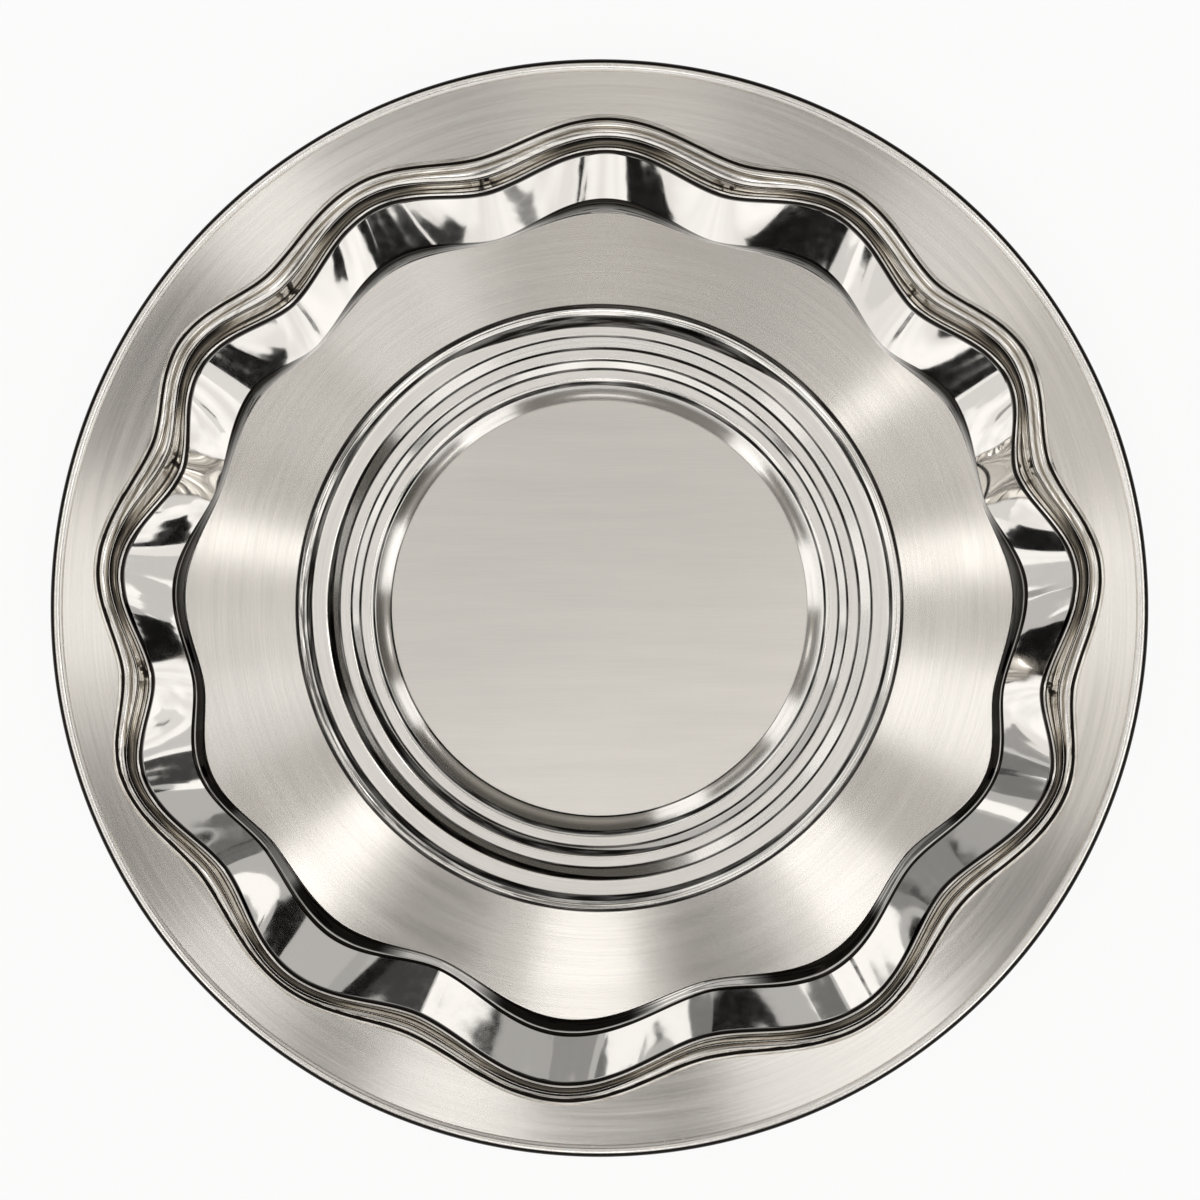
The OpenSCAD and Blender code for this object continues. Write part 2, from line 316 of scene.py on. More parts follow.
def map_range(tree, value, low, high, first, last, ease="LINEAR"):
    """A number carried over from one range to another, and held at its ends."""
    return new(tree, "ShaderNodeMapRange", {0: value, 1: low, 2: high, 3: first, 4: last},
               interpolation_type=ease)


def noise(tree, where, scale, detail, roughness=0.5):
    """Noise between 0 and 1."""
    return new(tree, "ShaderNodeTexNoise", {
        "Vector": where, "Scale": scale, "Detail": detail, "Roughness": roughness})


def bumps(tree, height, strength, depth, **under):
    """The normal of a surface with bumps: under may give the Normal that they stand on."""
    return new(tree, "ShaderNodeBump", {
        "Height": height, "Strength": strength, "Distance": depth, **under})


def attribute(tree, name):
    """A number that the mesh carries."""
    return add(tree, "ShaderNodeAttribute", attribute_name=name).outputs["Fac"]


def blend_values(tree, share, low, high):
    """The result of mixing two numbers by a share."""
    return new(tree, "ShaderNodeMix", {0: share, 2: low, 3: high}, data_type="FLOAT")


def blend_colours(tree, share, low, high):
    """The result of mixing two colours by a share."""
    return add(tree, "ShaderNodeMix", {0: share, 6: low, 7: high}, data_type="RGBA").outputs[2]


def opaque(colour):
    """A colour with full alpha, as a colour socket takes it."""
    return (*colour, 1.0)


def ramp(tree, factor, stops):
    """A colour ramp of gray levels: stops are (place, level)."""
    made = add(tree, "ShaderNodeValToRGB", {0: factor})
    points = made.color_ramp.elements
    points.remove(points[1])
    points[0].position = stops[0][0]
    for place, _ in stops[1:]:
        points.new(place)
    for point, (_, level) in zip(points, stops):
        point.color = (level, level, level, 1)
    return made.outputs[0]


def empty_tree(owner):
    """The node tree of a new material or world, with nothing in it."""
    owner.use_nodes = True
    owner.node_tree.nodes.clear()
    return owner.node_tree


def new_metal(name):
    """A metal, its node tree and its shader."""
    made = bpy.data.materials.new(name)
    tree = empty_tree(made)
    shader = add(tree, "ShaderNodeBsdfPrincipled", {"Metallic": 1.0})
    add(tree, "ShaderNodeOutputMaterial", {0: shader.outputs[0]})
    return made, tree, shader


def object_place(tree):
    """The place on the plate."""
    return add(tree, "ShaderNodeTexCoord").outputs["Object"]


def polar(tree):
    """The distance from the plate's axis and the direction out from it."""
    flat = vector_node(tree, "MULTIPLY", object_place(tree), (1, 1, 0))[0]
    return vector_node(tree, "LENGTH", flat)["Value"], vector_node(tree, "NORMALIZE", flat)[0]


def turned_streaks(tree, radius, outward, pitch, arc, detail):
    """Noise drawn out along circles around the axis: pitch is the spacing across them in
    metres, arc the number of streaks in a radian."""
    lift = new(tree, "ShaderNodeCombineXYZ", {2: product(tree, radius, 1 / pitch)})
    where = vector_node(tree, "ADD", scaled(tree, outward, arc), lift)[0]
    return noise(tree, where, 1.0, detail, 0.55)


def leaned_normal(tree, outward, lean):
    """The surface's normal, leaned outwards: a lathe tool leaves grooves with one long side."""
    facing = add(tree, "ShaderNodeNewGeometry").outputs["Normal"]
    both = vector_node(tree, "ADD", facing, scaled(tree, outward, math.tan(lean)))[0]
    return vector_node(tree, "NORMALIZE", both)[0]


def toward(tree, outward, azimuth, spread):
    """1 in the direction of an azimuth and 0 beyond a spread to either side, in degrees."""
    a = math.radians(azimuth)
    facing = vector_node(tree, "DOT_PRODUCT", outward, (math.cos(a), math.sin(a), 0))["Value"]
    return map_range(tree, facing, math.cos(math.radians(spread)),
                     math.cos(math.radians(spread * 0.35)), 0.0, 1.0, "SMOOTHSTEP")


def turned_line(tree, radius, middle, half, soft):
    """1 on a line around the axis, with its middle radius and half width, fading over soft."""
    gap = math_node(tree, "ABSOLUTE", math_node(tree, "SUBTRACT", radius, middle))
    return map_range(tree, math_node(tree, "SUBTRACT", half, gap), -soft, soft, 0.0, 1.0)


def hazy(tree, place, scale, roughness):
    """A roughness that varies in small patches, as on a buffed face."""
    return map_range(tree, noise(tree, place, scale, 3.0), 0.3, 0.7, roughness * 0.8, roughness * 1.3)


def lathe_brushed(name, colour, painted_shade_colour, roughness, lean, broad_pitch):
    """Nickel-plated sheet brushed on a lathe: fine circular grooves, so highlights fan out. A painted
    shade line blackens it next to the centre ring."""
    made, tree, shader = new_metal(name)
    radius, outward = polar(tree)
    # Real grooves are 0.05 mm apart, too fine to show, so they are drawn 0.5 mm apart
    fine = turned_streaks(tree, radius, outward, 0.5 * MM, 2.2, 3)
    broad = turned_streaks(tree, radius, outward, broad_pitch, 1.6, 2)
    shade = map_range(tree, blend_values(tree, 0.5, fine, broad), 0.3, 0.7, 0.9, 1.06)
    tint = scaled(tree, tuple(colour), shade)
    # Painted shade along the ring's edge, where floor and ring meet
    ring_edge_shade = turned_line(tree, radius, RING_EDGE, 0.25 * MM, 0.15 * MM)
    facing = leaned_normal(tree, outward, lean)
    feed(tree, shader, {
        "Base Color": blend_colours(tree, ring_edge_shade, tint, opaque(painted_shade_colour)),
        "Roughness": map_range(tree, broad, 0.25, 0.75, roughness * 0.88, roughness * 1.12),
        "Anisotropic": 1.0,
        "Normal": bumps(tree, fine, 0.12, SCRATCH, Normal=facing),
        "Tangent": outward,
    })
    return made


def mirror_polished(name, colour, painted_shade_colour, roughness):
    """Nickel plate buffed to a mirror over pressed sheet, which keeps a faint waviness. Its point
    attribute paints shade and black reflection into the colour, 1 where that is black."""
    made, tree, shader = new_metal(name)
    place = object_place(tree)
    light = math_node(tree, "POWER", rest(tree, attribute(tree, "painted_shade")), 2.2)
    wide, close = (noise(tree, place, scale, 1.0) for scale in (60.0, 130.0))
    wave = math_node(tree, "MULTIPLY_ADD", close, 0.25, wide)
    feed(tree, shader, {
        "Base Color": blend_colours(tree, light, opaque(painted_shade_colour), opaque(colour)),
        "Roughness": hazy(tree, place, 400.0, roughness),
        "Normal": bumps(tree, wave, 1.0, 0.06 * MM),
    })
    return made


def polished_reed(name, finish, roughness, stops, hollow_stops=None):
    """Half-round strip, polished on its back, tarnished along its grooves, painted shade black in
    them and on the inner strip's crests: stops are (place, level), over millimetres from the outer
    side, or with hollow_stops over the way across, stops for the crests and hollow_stops for hollows."""
    made, tree, shader = new_metal(name)
    place = object_place(tree)
    across = attribute(tree, "across")
    # The black levels in the stops are painted shade
    if hollow_stops:
        full = map_range(tree, attribute(tree, "crest"), 0.25, 0.8, 0.0, 1.0, "SMOOTHSTEP")
        clean_and_unshaded = blend_values(tree, full, ramp(tree, across, hollow_stops), ramp(tree, across, stops))
    else:
        last = stops[-1][0]
        inward = math_node(tree, "DIVIDE", attribute(tree, "edge"), last)
        clean_and_unshaded = ramp(tree, inward, [(x / last, y) for x, y in stops])
        clean_and_unshaded = product(tree, clean_and_unshaded, map_range(tree, across, 0.02, 0.07, 0.0, 1.0))
    streak = turned_streaks(tree, *polar(tree), 1.2 * MM, 9.0, 3)
    wear_and_shade_fade = map_range(tree, streak, 0.3, 0.55, 0.75, 1.05)
    pinch = map_range(tree, noise(tree, place, 420.0, 2.0), 0.42, 0.52, 1.0, 0.0)
    clean_and_unshaded = product(tree, clean_and_unshaded, wear_and_shade_fade, rest(tree, product(tree, pinch, attribute(tree, "knot"))))
    dull = math_node(tree, "POWER", map_range(tree, clean_and_unshaded, 0.0, 0.5, 0.0, 1.0), 1.6)
    bright = map_range(tree, clean_and_unshaded, 0.5, 1.0, 0.0, 1.0)
    tone = blend_colours(tree, dull, opaque(finish.painted_shade_colour), opaque(finish.tarnish))
    feed(tree, shader, {
        "Base Color": blend_colours(tree, bright, tone, opaque(finish.polished)),
        "Roughness": hazy(tree, place, 300.0, roughness),
    })
    return made


def band_stops(bands):
    """Ramp stops over the ring's span that are 1 inside each band of radii in mm and 0 outside."""
    start, soft = RING_SPAN[0], 0.008
    width = RING_SPAN[1] - start
    stops = [(0.0, 0.0)]
    for low, high in bands:
        first, last = (low - start) / width, (high - start) / width
        stops += [(first - soft, 0.0), (first + soft, 1.0), (last - soft, 1.0), (last + soft, 0.0)]
    return stops


def turned_ring(name, polished, painted_shade_colour):
    """Turned ring: finely turned treads, polished risers, and painted shade in the corners."""
    made, tree, shader = new_metal(name)
    radius, outward = polar(tree)
    share = map_range(tree, radius, RING_SPAN[0] * MM, RING_SPAN[1] * MM, 0.0, 1.0)
    treads = ramp(tree, share, band_stops(TREADS))
    fine = turned_streaks(tree, radius, outward, 0.4 * MM, 2.5, 3)
    streak = turned_streaks(tree, radius, outward, 0.9 * MM, 5.0, 3)
    # Black streaks on the bead, towards the lower left
    middle, half = RING_BEAD
    bead = turned_line(tree, radius, middle * MM, half * MM, 0.2 * MM)
    painted_shade_and_streaks = product(tree, map_range(tree, streak, 0.47, 0.58, 0.0, 0.85), bead,
                    toward(tree, outward, 205, 95))
    # Painted shade lines in the corners, each wider towards one side
    for middle, half, azimuth, spread, wide_middle, wide_half in RING_LINES:
        side = toward(tree, outward, azimuth, spread)
        line = turned_line(tree, radius, blend_values(tree, side, middle * MM, wide_middle * MM),
                           blend_values(tree, side, half * MM, wide_half * MM), 0.12 * MM)
        painted_shade_and_streaks = math_node(tree, "MAXIMUM", painted_shade_and_streaks, line)
    painted_shade_and_streaks = product(tree, painted_shade_and_streaks, map_range(tree, streak, 0.4, 0.6, 1.0, 0.6))
    clean_and_unshaded = math_node(tree, "POWER", rest(tree, painted_shade_and_streaks), 1.8)
    turned = scaled(tree, tuple(polished), map_range(tree, fine, 0.3, 0.7, 0.95, 1.07))
    metal = blend_colours(tree, treads, opaque(polished), turned)
    feed(tree, shader, {
        "Base Color": blend_colours(tree, clean_and_unshaded, opaque(painted_shade_colour), metal),
        "Roughness": blend_values(tree, treads, 0.13, 0.35),
        "Anisotropic": 0.4,
        "Normal": bumps(tree, fine, 0.08, SCRATCH),
        "Tangent": outward,
    })
    return made


def straight_brushed(name, colour, roughness):
    """Nickel-plated disc brushed straight along X, so it spreads light along Y."""
    made, tree, shader = new_metal(name)
    place = object_place(tree)

    def drawn_out(length, width, detail, uneven):
        """Noise in streaks along X, of a length and a width."""
        where = new(tree, "ShaderNodeMapping", {"Vector": place, "Scale": (1 / length, 1 / width, 1)})
        return noise(tree, where, 1.0, detail, uneven)

    # Real scratches are 0.05 mm apart, too fine to show, so they are drawn 0.4 mm apart
    fine = drawn_out(22 * MM, 0.4 * MM, 4.0, 0.6)
    broad = drawn_out(70 * MM, 6 * MM, 2.0, 0.5)
    shade = map_range(tree, blend_values(tree, 0.5, fine, broad), 0.3, 0.7, 0.94, 1.04)
    # Painted light on the disc:
    # A little brighter towards the lower right, as photographed
    height = vector_node(tree, "DOT_PRODUCT", place, (-0.3, 0.95, 0))["Value"]
    side = map_range(tree, height, -65 * MM, 30 * MM, 1.15, 1.0, "SMOOTHSTEP")
    feed(tree, shader, {
        "Base Color": scaled(tree, tuple(colour), product(tree, shade, side)),
        "Roughness": map_range(tree, fine, 0.3, 0.7, roughness * 0.9, roughness * 1.1),
        "Anisotropic": 0.7,
        "Normal": bumps(tree, fine, 0.08, SCRATCH),
        "Tangent": new(tree, "ShaderNodeCombineXYZ", {1: 1.0}),
    })
    return made


def line_radius(points, turn, fullness):
    """Radius of a border line at each direction: a full-bellied wave from point to point."""
    angles = np.array([point[0] for point in points])
    shares = np.array([point[1] for point in points])
    degrees = np.degrees(turn) % 360
    last = np.searchsorted(angles, degrees, side="right") - 1
    following = (last + 1) % len(angles)
    start = angles[last] - np.where(last < 0, 360, 0)
    end = angles[following] + np.where(following < last, 360, 0)
    travelled = (degrees - start) / (end - start)
    low = np.minimum(shares[last], shares[following])
    high = np.maximum(shares[last], shares[following])
    rising = shares[following] >= shares[last]
    travelled = np.where(rising, travelled, 1 - travelled)
    wave = ((1 - np.cos(np.pi * travelled)) / 2) ** fullness
    return PLATE_R * (low + (high - low) * wave)


def crest_share(points, turn):
    """1 at the crests of a border line, 0 in its hollows."""
    ends = [(point[0], 1 - number % 2) for number, point in enumerate(points)]
    return line_radius(ends, turn, 1) / PLATE_R


def ring_turn(steps):
    """Directions around the axis, in radians."""
    return np.arange(steps) * 2 * np.pi / steps


def closed_mesh(name, rows, zones, materials, values=None):
    """A ring-shaped piece from rows of (radius, height) arrays, taken once around its section.
    zones gives the material of the faces after each row, values a number for each point."""
    radius = np.array([row[0] for row in rows])
    height = np.array([row[1] for row in rows])
    count, steps = radius.shape
    turn = ring_turn(steps)
    points = np.stack([radius * np.cos(turn), radius * np.sin(turn), height], axis=-1)
    index = np.arange(count * steps).reshape(count, steps)
    after_row = np.roll(index, -1, axis=0)
    quads = np.stack([index, after_row, np.roll(after_row, -1, axis=1), np.roll(index, -1, axis=1)], axis=-1)
    mesh = bpy.data.meshes.new(name)
    mesh.from_pydata(points.reshape(-1, 3).tolist(), [], quads.reshape(-1, 4).tolist())
    for material in materials:
        mesh.materials.append(material)
    mesh.polygons.foreach_set("material_index", np.repeat(np.array(zones, dtype=np.int32), steps))
    for key, numbers in (values or {}).items():
        layer = mesh.attributes.new(key, "FLOAT", "POINT")
        layer.data.foreach_set("value", np.asarray(numbers, dtype=np.float32).reshape(-1))
    mesh.validate()
    mesh.update()
    return placed(name, mesh)


def placed(name, data):
    """A new object in the scene."""
    made = bpy.data.objects.new(name, data)
    bpy.context.scene.collection.objects.link(made)
    return made


def shell_rows(sizes):
    """Rows of the pressed sheet once around its section, the zone after each row and how much
    painted shade each point has."""
    turn = ring_turn(sizes.directions)
    full = sizes.crest_fullness
    foot = line_radius(FOOT_LINE, turn, full)
    step = line_radius(STEP_LINE, turn, full)
    inner = line_radius(INNER_LINE, turn, full) - BRIM_LAP
    level = np.ones_like(turn)
    step_w = step - foot
    step_h = step_w * sizes.step_slope
    rows, zones, painted_shades = [], [], []

    def row(radius, height, zone, painted_shade=0.0):
        rows.append((radius * level, height * level))
        zones.append(zone)
        painted_shades.append(painted_shade * level)

    def eased(share):
        """A share of the way that starts and ends level."""
        return share * share * (3 - 2 * share)

    for share in FLOOR_ROWS:
        row(HOLE_R + (foot - HOLE_R) * share, FLOOR_Z, FLOOR)
    # Painted shade on the step:
    # Darker where the step is wide. At the bottom of the photograph its middle is dark only at
    # its crests
    wear_and_shade_fade = np.minimum(1, step_w / (2.4 * MM))
    far_side = np.clip(1.4 + 1.6 * np.sin(turn), 0, 1)
    filled = np.maximum(far_side, np.clip(2.5 * (crest_share(STEP_LINE, turn) - 0.2), 0, 1))
    low_side = np.clip(0.5 - np.sin(turn), 0, 1)
    for share, top_dark, bottom_dark in STEP_SHADES:
        painted_shade = top_dark + (bottom_dark - top_dark) * low_side
        depth = wear_and_shade_fade * (1 if share > 0.85 or share < 0.1 else filled)
        row(foot + step_w * share, FLOOR_Z + step_h * eased(share), WALL, painted_shade * depth)
    base_z = FLOOR_Z + step_h
    top_r, top_z = inner - SHOULDER[0][0], BRIM_Z - SHOULDER[0][1]

    def on_wall(share):
        """The place a share of the way up the wall."""
        return step + (top_r - step) * share, base_z + (top_z - base_z) * share ** sizes.wall_bend

    # Painted shade where the wall leaves the step, and along the wall's top edge and shoulder
    row(*on_wall(WALL_FOOT), WALL, wear_and_shade_fade)
    for share in WALL_ROWS:
        row(*on_wall(share), WALL, 0.9 if share == 1 else 0.0)
    for back, down in SHOULDER[1:]:
        row(inner - back, BRIM_Z - down, WALL, 1.0)
    row(inner, BRIM_Z, BRIM)
    contact = math.pi - math.asin((SHEET - (BEAD_Z - BRIM_Z + SHEET)) / BEAD_R)
    contact_r = BEAD_X + BEAD_R * math.cos(contact)
    for share in BRIM_ROWS:
        row(inner + (contact_r - inner) * share, BRIM_Z, BRIM)
    for angle in np.linspace(contact, math.pi - CURL_END, BEAD_ROWS):
        # Painted shade in the seam next to the brim, and a painted black reflection on the upper outer side
        crease_shade = 0.8 if angle == contact else 0.0
        outside = min(1, max(0, (math.cos(angle) - 0.3) / 0.12)) * (math.sin(angle) > 0.05)
        row(BEAD_X + BEAD_R * math.cos(angle), BEAD_Z + BEAD_R * math.sin(angle), BEAD,
            max(crease_shade, outside))
    inside = BEAD_R - SHEET
    for angle in np.linspace(math.pi - CURL_END, math.pi * 0.95, CURL_ROWS):
        row(BEAD_X + inside * math.cos(angle), BEAD_Z + inside * math.sin(angle), UNDERSIDE)
    row(BEAD_X - BEAD_R * 1.2, BRIM_Z - SHEET, UNDERSIDE)
    row(inner + 0.5 * MM, BRIM_Z - SHEET, UNDERSIDE)
    for share in UNDER_WALL_ROWS:
        radius, height = on_wall(share)
        row(radius, height - 1.35 * SHEET, UNDERSIDE)
    for share in UNDER_STEP_ROWS:
        row(foot + step_w * share, FLOOR_Z - 1.15 * SHEET + step_h * eased(share), UNDERSIDE)
    for radius in (foot, (foot + HOLE_R) / 2, HOLE_R):
        row(radius, FLOOR_Z - SHEET, UNDERSIDE)
    return rows, zones, np.array(painted_shades)


def reed_rows(inside, outside, grooves):
    """Rows of a flat closed strip between two lines, and for each point how far across it is, how
    much of its rounded height it keeps and its distance from the outer side in mm."""
    over = (1 - np.cos(np.linspace(0, np.pi, BACK_ROWS))) / 2
    width = outside - inside - 2 * STRIP_GAP
    across = np.concatenate([over, FLAT_ROWS])[:, None] * np.ones_like(inside)
    edge = (1 - across) * width / MM
    top = np.ones_like(across)
    for middle, half, depth in grooves:
        top -= depth * np.maximum(0, 1 - ((edge - middle) / half) ** 2)
    top[0] = 0
    top[BACK_ROWS - 1:] = 0
    rows = [(inside + STRIP_GAP + width * share, BRIM_Z * np.ones_like(inside)) for share in across]
    return rows, across, top, edge


def geometry_tree(name, numbers):
    """A geometry node tree and its inputs, which are a shape, numbers as (name, kind of socket,
    default) and a material."""
    tree = bpy.data.node_groups.new(name, "GeometryNodeTree")
    face = tree.interface
    face.new_socket("Geometry", in_out="INPUT", socket_type="NodeSocketGeometry")
    for label, kind, value in numbers:
        face.new_socket(label, in_out="INPUT", socket_type=kind).default_value = value
    face.new_socket("Material", in_out="INPUT", socket_type="NodeSocketMaterial")
    face.new_socket("Geometry", in_out="OUTPUT", socket_type="NodeSocketGeometry")
    return tree, add(tree, "NodeGroupInput").outputs


def put_out(tree, shape, material):
    """Ends a geometry node tree with a real mesh in its material."""
    real = new(tree, "GeometryNodeRealizeInstances", {0: shape})
    dressed = new(tree, "GeometryNodeSetMaterial", {"Geometry": real, "Material": material})
    add(tree, "NodeGroupOutput", {0: dressed})
    return tree


def reed_tree():
    """Geometry nodes that raise a flat strip to a rounded reed."""
    tree, entry = geometry_tree("raised_reed", (
        ("Height", "NodeSocketFloat", 1.3 * MM), ("Roundness", "NodeSocketFloat", ROUNDNESS)))
    across, top = (new(tree, "GeometryNodeInputNamedAttribute", {"Name": key}, data_type="FLOAT")
                   for key in ("across", "top"))
    swell = math_node(tree, "SINE", product(tree, across, math.pi))
    swell = math_node(tree, "MAXIMUM", swell, 0.0)
    rounded = math_node(tree, "POWER", swell, entry["Roundness"])
    offset = new(tree, "ShaderNodeCombineXYZ", {2: product(tree, rounded, top, entry["Height"])})
    raised = new(tree, "GeometryNodeSetPosition", {"Geometry": entry["Geometry"], "Offset": offset})
    return put_out(tree, raised, entry["Material"])


def lathe_tree():
    """Geometry nodes that carry a section, drawn in X and Y, around a circle."""
    tree, entry = geometry_tree("lathe", (
        ("Radius", "NodeSocketFloat", PATH_R), ("Sides", "NodeSocketInt", RING_SIDES)))
    circle = new(tree, "GeometryNodeCurvePrimitiveCircle", {
        "Resolution": entry["Sides"], "Radius": entry["Radius"]})
    swept = new(tree, "GeometryNodeCurveToMesh", {"Curve": circle, "Profile Curve": entry["Geometry"]})
    smooth = new(tree, "GeometryNodeSetShadeSmooth", {"Geometry": swept})
    return put_out(tree, smooth, entry["Material"])


def grown(source, tree, values, name):
    """Runs a node tree on an object, with inputs by name, and keeps the result as a plain mesh."""
    modifier = source.modifiers.new(tree.name, "NODES")
    modifier.node_group = tree
    for item in tree.interface.items_tree:
        if item.name in values:
            modifier[item.identifier] = values[item.name]
    depsgraph = bpy.context.evaluated_depsgraph_get()
    mesh = bpy.data.meshes.new_from_object(source.evaluated_get(depsgraph))
    mesh.name = name
    source.modifiers.clear()
    bpy.data.objects.remove(source)
    return placed(name, mesh)


def rounded_section(corners):
    """A closed outline with each corner rounded: corners are (x, y, radius)."""
    outline = []
    for number, (x, y, radius) in enumerate(corners):
        here = np.array((x, y))
        before = np.array(corners[number - 1][:2]) - here
        after = np.array(corners[(number + 1) % len(corners)][:2]) - here
        reach = min(radius, np.linalg.norm(before) * 0.45, np.linalg.norm(after) * 0.45)
        start = here + before / np.linalg.norm(before) * reach
        end = here + after / np.linalg.norm(after) * reach
        for share in np.linspace(0, 1, CORNER_POINTS):
            outline.append((1 - share) ** 2 * start + 2 * share * (1 - share) * here + share ** 2 * end)
    return np.array(outline)


def close_middle(mesh):
    """Joins the points that lie together on the axis, and drops what that leaves flat."""
    shape = bmesh.new()
    shape.from_mesh(mesh)
    bmesh.ops.remove_doubles(shape, verts=shape.verts, dist=0.001 * MM)
    loose = [edge for edge in shape.edges if not edge.link_faces]
    bmesh.ops.delete(shape, geom=loose, context="EDGES")
    shape.to_mesh(mesh)
    shape.free()


def smooth_by_angle(piece, degrees):
    """Smooth shading with edges over the angle kept crisp."""
    mesh = piece.data
    mesh.polygons.foreach_set("use_smooth", np.ones(len(mesh.polygons), dtype=bool))
    mesh.set_sharp_from_angle(angle=math.radians(degrees))


def settle(piece, slot, *nodes):
    """Puts a finished piece on the plate in place of its CAD nodes."""
    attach(piece, "root")
    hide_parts(*nodes)


class PLATE_OT_shell(bpy.types.Operator):
    """Press the sheet: floor, step, fluted wall, brim and rolled rim"""

    bl_idname = "plate.shell"
    bl_label = "Pressed sheet"

    def execute(self, context):
        sizes, finish = context.scene.plate_sizes, context.scene.plate_finish
        rows, zones, painted_shades = shell_rows(sizes)
        satin, polished = ((colour, finish.painted_shade_colour) for colour in (finish.satin, finish.polished))
        # In the order of the zones, with roughness and, where brushed, the grooves' lean and spacing
        materials = [
            lathe_brushed("brushed_floor", *satin, 0.24, math.radians(10), 6 * MM),
            mirror_polished("polished_wall", *polished, 0.05),
            lathe_brushed("brushed_brim", *satin, 0.15, 0, 2.5 * MM),
            mirror_polished("polished_bead", *polished, 0.22),
            lathe_brushed("brushed_underside", *satin, 0.5, 0, 4 * MM),
        ]
        # The painted shade and painted black reflections go on the mesh as a point attribute
        shell = closed_mesh("pressed_sheet", rows, zones, materials, {"painted_shade": painted_shades})
        smooth_by_angle(shell, 40)
        settle(shell, "shell_sheet", "dish_shell")
        return {"FINISHED"}


class PLATE_OT_wire(bpy.types.Operator):
    """Finish the wire inside the rolled rim"""

    bl_idname = "plate.wire"
    bl_label = "Rim wire"

    def execute(self, context):
        painted_shade_colour = context.scene.plate_finish.painted_shade_colour
        bare_steel = linear("b9b5af")
        drawn = mirror_polished("drawn_wire", bare_steel, painted_shade_colour, 0.3)
        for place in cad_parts["rim_wire"].material_slots:
            place.material = drawn
        return {"FINISHED"}


class PLATE_OT_reeds(bpy.types.Operator):
    """Raise the two strips of the scalloped border"""

    bl_idname = "plate.reeds"
    bl_label = "Border reeds"

    def execute(self, context):
        sizes, finish = context.scene.plate_sizes, context.scene.plate_finish
        turn = ring_turn(sizes.directions)
        outer, middle, inner = (line_radius(points, turn, sizes.crest_fullness)
                                for points in (OUTER_LINE, MIDDLE_LINE, INNER_LINE))
        tree = reed_tree()
        rough = 0.14
        outer_metal = polished_reed("polished_outer", finish, rough, OUTER_SHADES)
        inner_metal = polished_reed("polished_inner", finish, rough, CREST_SHADES, HOLLOW_SHADES)
        crest = crest_share(INNER_LINE, turn)
        knot = sum(np.exp(-((np.degrees(turn) - at) / KNOT_REACH) ** 2) for at in KNOTS)
        for name, node, low, high, height, grooves, metal in (
                ("outer_strip", "outer_reed", middle, outer, sizes.outer_reed,
                 OUTER_GROOVES, outer_metal),
                ("inner_strip", "inner_reed", inner, middle, sizes.inner_reed,
                 INNER_GROOVES, inner_metal)):
            rows, across, top, edge = reed_rows(low, high, grooves)
            every = np.ones_like(across)
            flat = closed_mesh(name + "_flat", rows, [0] * len(rows), [metal],
                               {"across": across, "top": top, "edge": edge, "crest": crest * every,
                                "knot": knot * (node == "inner_reed") * every})
            reed = grown(flat, tree, {"Height": height, "Roundness": ROUNDNESS, "Material": metal}, name)
            smooth_by_angle(reed, 50)
            settle(reed, "border_reed", node)
        return {"FINISHED"}


class PLATE_OT_ring(bpy.types.Operator):
    """Turn the stepped ring around the disc"""

    bl_idname = "plate.ring"
    bl_label = "Centre ring"

    def execute(self, context):
        finish = context.scene.plate_finish
        outline = rounded_section(RING_SECTION) * MM
        curve = bpy.data.curves.new("ring_section", "CURVE")
        curve.dimensions = "3D"
        spline = curve.splines.new("POLY")
        spline.points.add(len(outline) - 1)
        spline.use_cyclic_u = True
        for point, (x, y) in zip(spline.points, outline):
            point.co = (x - PATH_R, -y, 0, 1)
        metal = turned_ring("turned_ring", finish.polished, finish.painted_shade_colour)
        ring = grown(placed("ring_section", curve), lathe_tree(),
                     {"Radius": PATH_R, "Sides": RING_SIDES, "Material": metal}, "stepped_ring")
        smooth_by_angle(ring, 35)
        settle(ring, "ring_metal", "well_ring")
        return {"FINISHED"}


class PLATE_OT_disc(bpy.types.Operator):
    """Turn the disc in the middle, with its flange under the ring's lip"""

    bl_idname = "plate.disc"
    bl_label = "Centre disc"

    def execute(self, context):
        level = np.ones(DISC_SIDES)
        rows = [(x * level, y * level) for x, y in rounded_section(DISC_SECTION) * MM]
        metal = straight_brushed("brushed_disc", context.scene.plate_finish.satin, 0.4)
        disc = closed_mesh("centre_plate", rows, [0] * len(rows), [metal])
        close_middle(disc.data)
        smooth_by_angle(disc, 35)
        settle(disc, "disc_face", "centre_disc")
        return {"FINISHED"}


